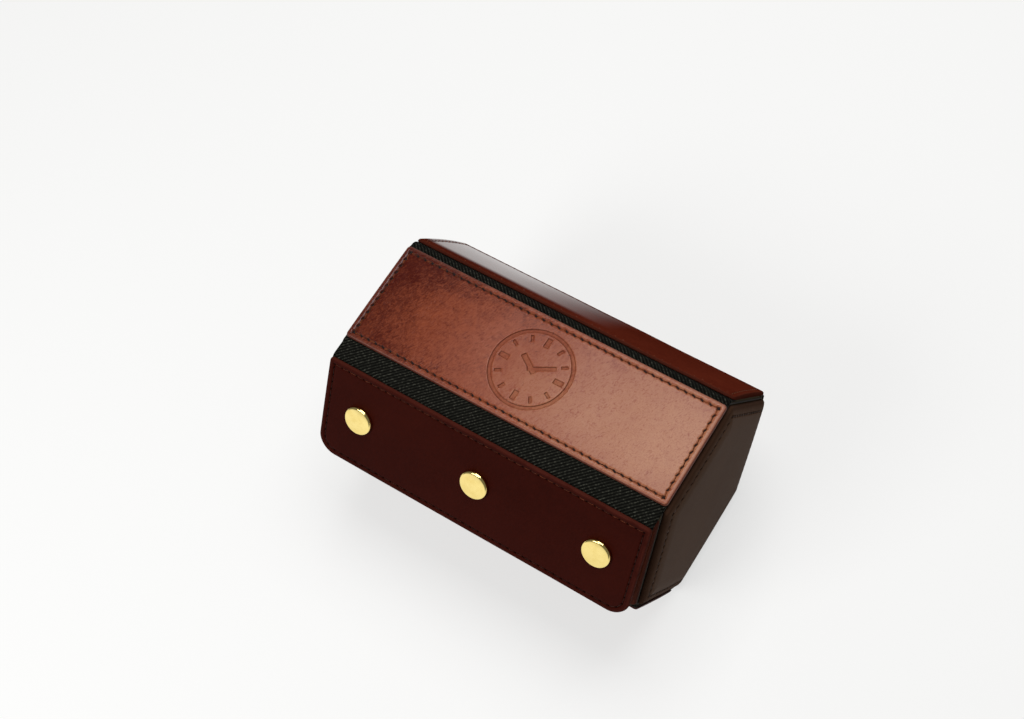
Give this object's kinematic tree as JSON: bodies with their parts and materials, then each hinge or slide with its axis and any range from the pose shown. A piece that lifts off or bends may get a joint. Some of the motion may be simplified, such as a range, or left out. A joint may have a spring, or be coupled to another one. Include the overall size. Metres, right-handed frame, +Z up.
{
  "type": "watch roll",
  "caption": "Six-sided leather watch roll with a snap flap, a lid folding back on fabric hinges, and cushions between dividers.",
  "frame": {"origin": "middle of the outer face of the base panel, on the surface that the roll stands on", "axes": "+X along the roll, +Z up, -Y towards the snap flap at the front"},
  "size_m": [0.178, 0.131, 0.1094],
  "materials": {
    "panel_leather": "semi-gloss reddish brown full-grain leather",
    "flap_leather": "semi-gloss dark maroon leather",
    "end_leather": "satin dark brown leather",
    "twill": "black diagonal twill",
    "lining_suede": "dark suede cloth",
    "cushion_suede": "taupe suede cloth",
    "board": "matte stiffener board",
    "foam": "open-cell foam",
    "snap_metal": "polished pale gold"
  },
  "bodies": {
    "case": {"base_facing": "panel_leather", "base_board": "board", "base_lining": "lining_suede", "rear_lower_facing": "panel_leather", "rear_lower_board": "board", "rear_lower_lining": "lining_suede", "front_lower_facing": "panel_leather", "front_lower_board": "board", "front_lower_lining": "lining_suede", "snap_panel_facing": "panel_leather", "snap_panel_board": "board", "snap_panel_lining": "lining_suede", "corner_strip_front": "twill", "corner_strip_base_front": "twill", "corner_strip_base_rear": "twill", "hinge_strip_rear": "twill", "end_cap_left_leather": "end_leather", "end_cap_left_board": "board", "end_cap_left_lining": "lining_suede", "divider_left": "lining_suede", "end_cap_right_leather": "end_leather", "end_cap_right_board": "board", "end_cap_right_lining": "lining_suede", "divider_right": "lining_suede", "snap_stud_left": "snap_metal", "snap_eyelet_left": "snap_metal", "cushion_left_core": "foam", "cushion_left_sleeve": "cushion_suede", "cushion_left_left_end": "cushion_suede", "cushion_left_right_end": "cushion_suede", "snap_stud_middle": "snap_metal", "snap_eyelet_middle": "snap_metal", "cushion_middle_core": "foam", "cushion_middle_sleeve": "cushion_suede", "cushion_middle_left_end": "cushion_suede", "cushion_middle_right_end": "cushion_suede", "snap_stud_right": "snap_metal", "snap_eyelet_right": "snap_metal", "cushion_right_core": "foam", "cushion_right_sleeve": "cushion_suede", "cushion_right_left_end": "cushion_suede", "cushion_right_right_end": "cushion_suede"},
    "lid_rear": {"lid_rear_facing": "panel_leather", "lid_rear_board": "board", "lid_rear_lining": "lining_suede", "hinge_strip_top": "twill"},
    "lid_top": {"lid_top_facing": "panel_leather", "lid_top_board": "board", "lid_top_lining": "lining_suede", "hinge_strip_flap": "twill"},
    "flap": {"flap_facing": "flap_leather", "flap_core": "board", "flap_backing": "flap_leather", "snap_cap_left": "snap_metal", "snap_socket_left": "snap_metal", "snap_cap_middle": "snap_metal", "snap_socket_middle": "snap_metal", "snap_cap_right": "snap_metal", "snap_socket_right": "snap_metal"}
  },
  "joints": [
    {"name": "lid_rear_hinge", "type": "hinge", "parent": "case", "child": "lid_rear", "pos_m": [0, 0.06068, 0.0547], "axis": [-1, 0, 0], "range_deg": [0, 125], "deforming": ["hinge_strip_rear"]},
    {"name": "lid_top_hinge", "type": "hinge", "parent": "lid_rear", "child": "lid_top", "pos_m": [0, 0.03034, 0.10725], "axis": [-1, 0, 0], "range_deg": [0, 60], "deforming": ["hinge_strip_top"]},
    {"name": "flap_hinge", "type": "hinge", "parent": "lid_top", "child": "flap", "pos_m": [0, -0.033, 0.10759], "axis": [-1, 0, 0], "range_deg": [0, 90], "deforming": ["hinge_strip_flap"]}
  ]
}
